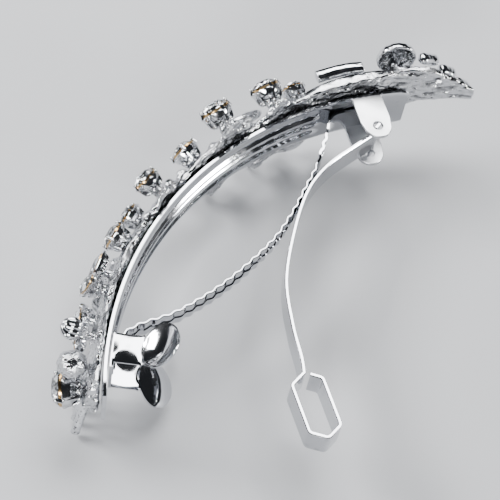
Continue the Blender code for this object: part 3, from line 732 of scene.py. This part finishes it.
# Each kind of casting: its pieces, voxel size, relief, wrinkle size, finish and slot
SKINS = (
    (("spray_casting",), 0.24, 0.46, 1.2, rough_cast_painted_shade, "cast_setting"),
    (("end_cluster",), 0.16, 0.30, 0.9, rough_cast_painted_shade, "cast_setting"),
    (("cupped_petal",), 0.16, 0.10, 0.9, polished_cast_painted_shade, "cast_setting"),
    (("leaf",), 0.14, 0.16, 1.2, polished_cast_painted_shade, "polished_casting"),
    (("stem_1", "stem_2", "stem_3"), 0.16, 0.05, 2.0, polished_cast_painted_shade, "polished_casting"),
    (("finger_bar_1", "finger_bar_2", "finger_bar_3"), 0.12, 0.12, 1.3, polished_cast_painted_shade, "cast_setting"),
    (("fringe_rod_1", "fringe_rod_2", "fringe_rod_3", "fringe_rod_4"), 0.12, 0.10, 0.8, polished_cast_painted_shade,
     "cast_setting"),
)
seed = 0
for nodes, grain, relief, coarse, finish, slot in SKINS:
    for node in nodes:
        seed += 1
        skin = cast_skin(node, grain * MM, relief * MM, coarse * MM, seed)
        finished(f"{node}_worked", skin, finish, smooth_angle=70.0, replaced=(node,))

# ---------------------------------------------------------------- grooved ball
# A small solid ball soldered beside the end stone. It is turned, and then cut with meridian grooves that
# meet at its poles.
ball_low, ball_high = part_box("grooved_ball")
ball_middle = (Vector(ball_low) + Vector(ball_high)) / 2
ball_axis = (outward(ball_middle) + Vector((0, 0, 0.55))).normalized()
ball_side = ball_axis.orthogonal().normalized()
ball_turn = Matrix((ball_side, ball_axis.cross(ball_side), ball_axis)).transposed().to_4x4()
BALL_RADIUS = 1.85 * MM
GROOVES = 11
GROOVE_DEPTH = 0.14
ball = bmesh.new()
ball_rings = []
for i in range(1, 24):
    slope = math.pi * i / 24
    ring = []
    for k in range(GROOVES * 8):
        turn = 2 * math.pi * k / (GROOVES * 8)
        cut = GROOVE_DEPTH * math.sin(slope) * (1 - abs(math.sin(GROOVES * turn / 2)))
        r = BALL_RADIUS * (1 - cut)
        around = Vector((math.cos(turn), math.sin(turn), 0)) * math.sin(slope)
        spot = (around + Vector((0, 0, math.cos(slope)))) * r
        ring.append(ball.verts.new(Matrix.Translation(ball_middle) @ ball_turn @ spot))
    ball_rings.append(ring)
for a, b in zip(ball_rings, ball_rings[1:]):
    for k in range(len(a)):
        m = (k + 1) % len(a)
        ball.faces.new((a[k], a[m], b[m], b[k]))
ball.faces.new(ball_rings[0])
ball.faces.new(ball_rings[-1])
finished("grooved_ball_cut", ball, bright_cast, smooth_angle=50.0,
         replaced=("grooved_ball",))

# ---------------------------------------------------------------- stones
# Clear cut glass. Each has a flat table, a crown of slanted facets, a thin girdle and a pointed pavilion
# whose foil throws the light back.


LEAN_PER_MM = math.radians(3.5)


def seat_of(node):
    """Where a stone sits: a placement at its girdle, its long half and its short half."""
    points = {tuple(round(c, 7) for c in v.co) for v in frame["nodes"][node].data.vertices}
    points = [Vector(p) for p in points]
    middle = sum(points, Vector()) / len(points)
    tilt = LEAN_PER_MM * (middle.z - MID_Z) / MM
    axis = outward(middle) * math.cos(tilt) + Vector((0, 0, math.sin(tilt)))
    flat = [(p - middle) - axis * (p - middle).dot(axis) for p in points]
    far = max(flat, key=lambda q: q.length)
    long_way = far.normalized()
    short_way = axis.cross(long_way)
    long_half = far.length
    short_half = max(abs(q.dot(short_way)) for q in flat)
    reach = [(q.dot(long_way) / long_half) ** 2 + (q.dot(short_way) / short_half) ** 2 for q in flat]
    rim = [p for p, far_out in zip(points, reach) if far_out > 0.96]
    girdle = sum(rim, Vector()) / len(rim)
    centre = middle + axis * (girdle - middle).dot(axis)
    turn = Matrix((long_way, short_way, axis)).transposed().to_4x4()
    return Matrix.Translation(centre) @ turn, long_half, short_half


# The table, crown, girdle, pavilion and tip: how many points, their radius, height and turn
BRILLIANT_CUT = (
    (8, 0.56, 0.40, 0.5), (8, 0.82, 0.22, 0.0), (16, 1.0, 0.03, 0.0),
    (16, 1.0, -0.03, 0.0), (8, 0.55, -0.36, 0.5), (1, 0.0, -0.62, 0.0),
)


def cut_stone(placement, long_half, short_half):
    """A brilliant cut: the hull of its table, crown points, girdle and tip."""
    bm = bmesh.new()
    for count, radius, height, shift in BRILLIANT_CUT:
        for k in range(count):
            angle = 2 * math.pi * (k + shift) / count
            bm.verts.new(placement @ Vector((
                long_half * radius * math.cos(angle), short_half * radius * math.sin(angle),
                short_half * height,
            )))
    bmesh.ops.convex_hull(bm, input=bm.verts)
    bmesh.ops.dissolve_limit(bm, angle_limit=math.radians(1), verts=bm.verts, edges=bm.edges)
    return bm


def clear_glass(name):
    """Clear glass with a very slight cool haze."""
    mat = bpy.data.materials.new(name)
    mat.use_nodes = True
    tree = mat.node_tree
    shader = tree.nodes["Principled BSDF"]
    shader.inputs["Transmission Weight"].default_value = 1.0
    shader.inputs["IOR"].default_value = 1.58
    shader.inputs["Roughness"].default_value = 0.015
    coords = tree.nodes.new("ShaderNodeTexCoord")
    haze = tree.nodes.new("ShaderNodeTexNoise")
    haze.inputs["Scale"].default_value = 260.0
    link(tree, coords, "Object", haze, "Vector")
    tint = tree.nodes.new("ShaderNodeMix")
    tint.data_type = "RGBA"
    tint.inputs["A"].default_value = (0.97, 0.985, 1.0, 1)
    tint.inputs["B"].default_value = (0.88, 0.91, 0.94, 1)
    link(tree, haze, "Fac", tint, "Factor")
    tree.links.new(tint.outputs["Result"], shader.inputs["Base Color"])
    return mat


glass = clear_glass("cut_glass")
foil = metal("gold_brown_foil", SHEET_SURFACE, (0.55, 0.36, 0.16), (0.32, 0.19, 0.08),
             0.18, 0.34, 0.6, 0.2, 0.3)
silver_foil = metal("silver_foil", SHEET_SURFACE, (0.90, 0.91, 0.92), (0.74, 0.75, 0.77),
                    0.12, 0.25, 0.6, 0.2, 0.3)


def turned(profile, segments, placement, stretch=1.0, bm=None):
    """A turned form from (radius, height) pairs, drawn out along its X by stretch."""
    bm = bm or bmesh.new()
    rings = []
    for radius, height in profile:
        count = 1 if radius == 0 else segments
        rings.append([bm.verts.new(placement @ Vector((
            radius * stretch * math.cos(2 * math.pi * k / segments),
            radius * math.sin(2 * math.pi * k / segments), height))) for k in range(count)])
    for a, b in zip(rings, rings[1:]):
        for k in range(segments):
            m = (k + 1) % segments
            corners = [a[k % len(a)], a[m % len(a)], b[m % len(b)], b[k % len(b)]]
            bm.faces.new([v for i, v in enumerate(corners) if v not in corners[:i]])
    return bm


# ---------------------------------------------------------------- settings with their claws
# Each stone sits in a small open cup. Four or more claws stand on the cup's rim and are pressed over the
# girdle, and a thin gold-brown edge of the foil shows between the stone and the cup.
CUP_WALL = 0.42 * MM
CUP_DEPTH = 0.98
GRANULES = 9
# The cup's side from its foot to its rim, as shares of its radius and its depth
CUP_SIDE = (
    (0.50, 1.0), (0.62, 0.96), (0.70, 0.80), (0.86, 0.70), (0.95, 0.45), (0.98, 0.22), (1.0, 0.26),
)


CLAW_SIZES = (
    ("Ring Radius", "NodeSocketFloat", 2.0 * MM),
    ("Claw Count", "NodeSocketInt", 4),
    ("Claw Height", "NodeSocketFloat", 1.2 * MM),
    ("Claw Radius", "NodeSocketFloat", 0.3 * MM),
    ("Lean", "NodeSocketFloat", 0.5),
    ("Metal", "NodeSocketMaterial", None),
)
CLAW_TAPER = 0.62


def claw_tree():
    """Claws around a ring: each a tapered bead on a post, turned to face the ring's middle."""
    tree = bpy.data.node_groups.new("claw_ring", "GeometryNodeTree")
    tree.interface.new_socket(name="Geometry", in_out="INPUT", socket_type="NodeSocketGeometry")
    inputs = {}
    for name, kind, value in CLAW_SIZES:
        made = tree.interface.new_socket(name=name, in_out="INPUT", socket_type=kind)
        if value is not None:
            made.default_value = value
        inputs[name] = made.identifier
    tree.interface.new_socket(name="Geometry", in_out="OUTPUT", socket_type="NodeSocketGeometry")
    enter = tree.nodes.new("NodeGroupInput")
    leave = tree.nodes.new("NodeGroupOutput")
    ring = tree.nodes.new("GeometryNodeMeshCircle")
    link(tree, enter, "Claw Count", ring, "Vertices")
    link(tree, enter, "Ring Radius", ring, "Radius")
    post = tree.nodes.new("GeometryNodeMeshCone")
    post.inputs["Vertices"].default_value = 10
    post.inputs["Side Segments"].default_value = 3
    taper = tree.nodes.new("ShaderNodeMath")
    taper.operation = "MULTIPLY"
    taper.inputs[1].default_value = CLAW_TAPER
    link(tree, enter, "Claw Radius", taper, 0)
    link(tree, taper, "Value", post, "Radius Top")
    link(tree, enter, "Claw Radius", post, "Radius Bottom")
    link(tree, enter, "Claw Height", post, "Depth")
    tip = tree.nodes.new("GeometryNodeMeshIcoSphere")
    tip.inputs["Subdivisions"].default_value = 2
    link(tree, enter, "Claw Radius", tip, "Radius")
    raise_tip = tree.nodes.new("GeometryNodeTransform")
    top = tree.nodes.new("ShaderNodeCombineXYZ")
    link(tree, enter, "Claw Height", top, "Z")
    link(tree, tip, "Mesh", raise_tip, "Geometry")
    link(tree, top, "Vector", raise_tip, "Translation")
    claw = tree.nodes.new("GeometryNodeJoinGeometry")
    link(tree, post, "Mesh", claw, "Geometry")
    link(tree, raise_tip, "Geometry", claw, "Geometry")
    spot = tree.nodes.new("GeometryNodeInputPosition")
    inward = tree.nodes.new("ShaderNodeVectorMath")
    inward.operation = "NORMALIZE"
    link(tree, spot, "Position", inward, 0)
    leaning = tree.nodes.new("ShaderNodeVectorMath")
    leaning.operation = "SCALE"
    minus = tree.nodes.new("ShaderNodeMath")
    minus.operation = "MULTIPLY"
    minus.inputs[1].default_value = -1.0
    link(tree, enter, "Lean", minus, 0)
    link(tree, inward, "Vector", leaning, 0)
    link(tree, minus, "Value", leaning, "Scale")
    standing = tree.nodes.new("ShaderNodeVectorMath")
    standing.operation = "ADD"
    standing.inputs[1].default_value = (0, 0, 1)
    link(tree, leaning, "Vector", standing, 0)
    turn = tree.nodes.new("FunctionNodeAlignRotationToVector")
    turn.axis = "Z"
    link(tree, standing, "Vector", turn, "Vector")
    placed = tree.nodes.new("GeometryNodeInstanceOnPoints")
    link(tree, ring, "Mesh", placed, "Points")
    link(tree, claw, "Geometry", placed, "Instance")
    link(tree, turn, "Rotation", placed, "Rotation")
    real = tree.nodes.new("GeometryNodeRealizeInstances")
    link(tree, placed, "Instances", real, "Geometry")
    painted = tree.nodes.new("GeometryNodeSetMaterial")
    link(tree, real, "Geometry", painted, "Geometry")
    link(tree, enter, "Metal", painted, "Material")
    link(tree, painted, "Geometry", leave, "Geometry")
    return tree, inputs


CLAWS, CLAW_INPUTS = claw_tree()


def claw_ring(bm, placement, stretch, values):
    """Grows a ring of claws and adds it to a setting's mesh."""
    holder = bpy.data.objects.new("claws_in_making", bpy.data.meshes.new("claws_in_making"))
    bpy.context.scene.collection.objects.link(holder)
    grown = holder.modifiers.new("claws", "NODES")
    grown.node_group = CLAWS
    for name, value in values.items():
        grown[CLAW_INPUTS[name]] = value
    plain = bpy.data.meshes.new_from_object(holder.evaluated_get(bpy.context.evaluated_depsgraph_get()))
    plain.transform(placement @ Matrix.Diagonal((stretch, 1, 1, 1)))
    bm.from_mesh(plain)
    bpy.data.objects.remove(holder)
    bpy.data.meshes.remove(plain)


def setting(name, placement, long_half, short_half, claws, replaced):
    """A cup on its solder foot, with prongs up its side, a row of granules under it and claws on its rim."""
    stretch = long_half / short_half
    outer = short_half + CUP_WALL
    depth = CUP_DEPTH * short_half
    foot = depth + SOLDER_DEPTH
    outside = [(radius * outer, -height * depth) for radius, height in CUP_SIDE]
    rim = [(outer - 0.4 * CUP_WALL, -0.22 * depth), (outer - 0.9 * CUP_WALL, -0.24 * depth)]
    inside = [(0.5 * outer, -0.60 * depth), (0, -0.74 * depth)]
    bm = turned([(0, -foot), (0.46 * outer, -foot)] + outside + rim + inside, 36, placement, stretch)
    rings = (
        (-1.12, 0.66 * outer, claws + 2, 0.86, 0.14, -0.34),
        (-1.22, 0.56 * outer, GRANULES, 0.08, 0.19, 0.0),
        (-0.30, outer - 0.1 * CUP_WALL, claws, 0.44, 0.15, 0.22),
    )
    for level, radius, count, height, thickness, lean in rings:
        claw_ring(bm, placement @ Matrix.Translation((0, 0, level * short_half)), stretch, {
            "Ring Radius": radius, "Claw Count": count, "Claw Height": height * short_half,
            "Claw Radius": thickness * short_half, "Lean": lean, "Metal": bright_cast,
        })
    return finished(name, bm, bright_cast, replaced=(replaced,))


# Sections of the foil: radius and depth below the girdle, as shares of the stone's radius
FOIL_SHELL = ((0, 0.655), (0.56, 0.39), (0.985, 0.06), (1.0, 0.07), (0.58, 0.42), (0, 0.685))
FOIL_BAND = (
    (0.95, 0.14), (0.99, 0.045), (1.035, 0.035), (1.045, 0.09), (1.035, 0.20), (0.97, 0.20), (0.95, 0.14),
)


def foil_cup(name, placement, long_half, short_half):
    """The foil behind a stone: a silver shell, and a gold-brown band that shows at the girdle."""
    stretch = long_half / short_half
    r = short_half
    shell = turned([(x * r, -y * r) for x, y in FOIL_SHELL], 32, placement, stretch)
    finished(f"{name}_shell", shell, silver_foil)
    band = turned([(x * r, -y * r) for x, y in FOIL_BAND], 36, placement, stretch)
    return finished(f"{name}_band", band, foil)


def stone_set(stone_node, cup_node, claws):
    """A stone with its foil behind it, in its setting."""
    placement, long_half, short_half = seat_of(stone_node)
    name = stone_node.replace("stone_", "")
    gem = finished(f"gem_{name}", cut_stone(placement, long_half * 0.97, short_half * 0.97), glass,
                   smooth_angle=1.0, replaced=(stone_node,))
    for face in gem.data.polygons:
        face.use_smooth = False
    foil_cup(f"foil_{name}", placement, long_half, short_half)
    setting(f"setting_of_{name}", placement, long_half, short_half, claws, cup_node)


for node in sorted(frame["nodes"]):
    if node.startswith("stone_petal"):
        stone_set(node, node.replace("stone_", "setting_"), 2)
    elif node.startswith("stone_"):
        stone_set(node, node.replace("stone_", "cup_"), 4)
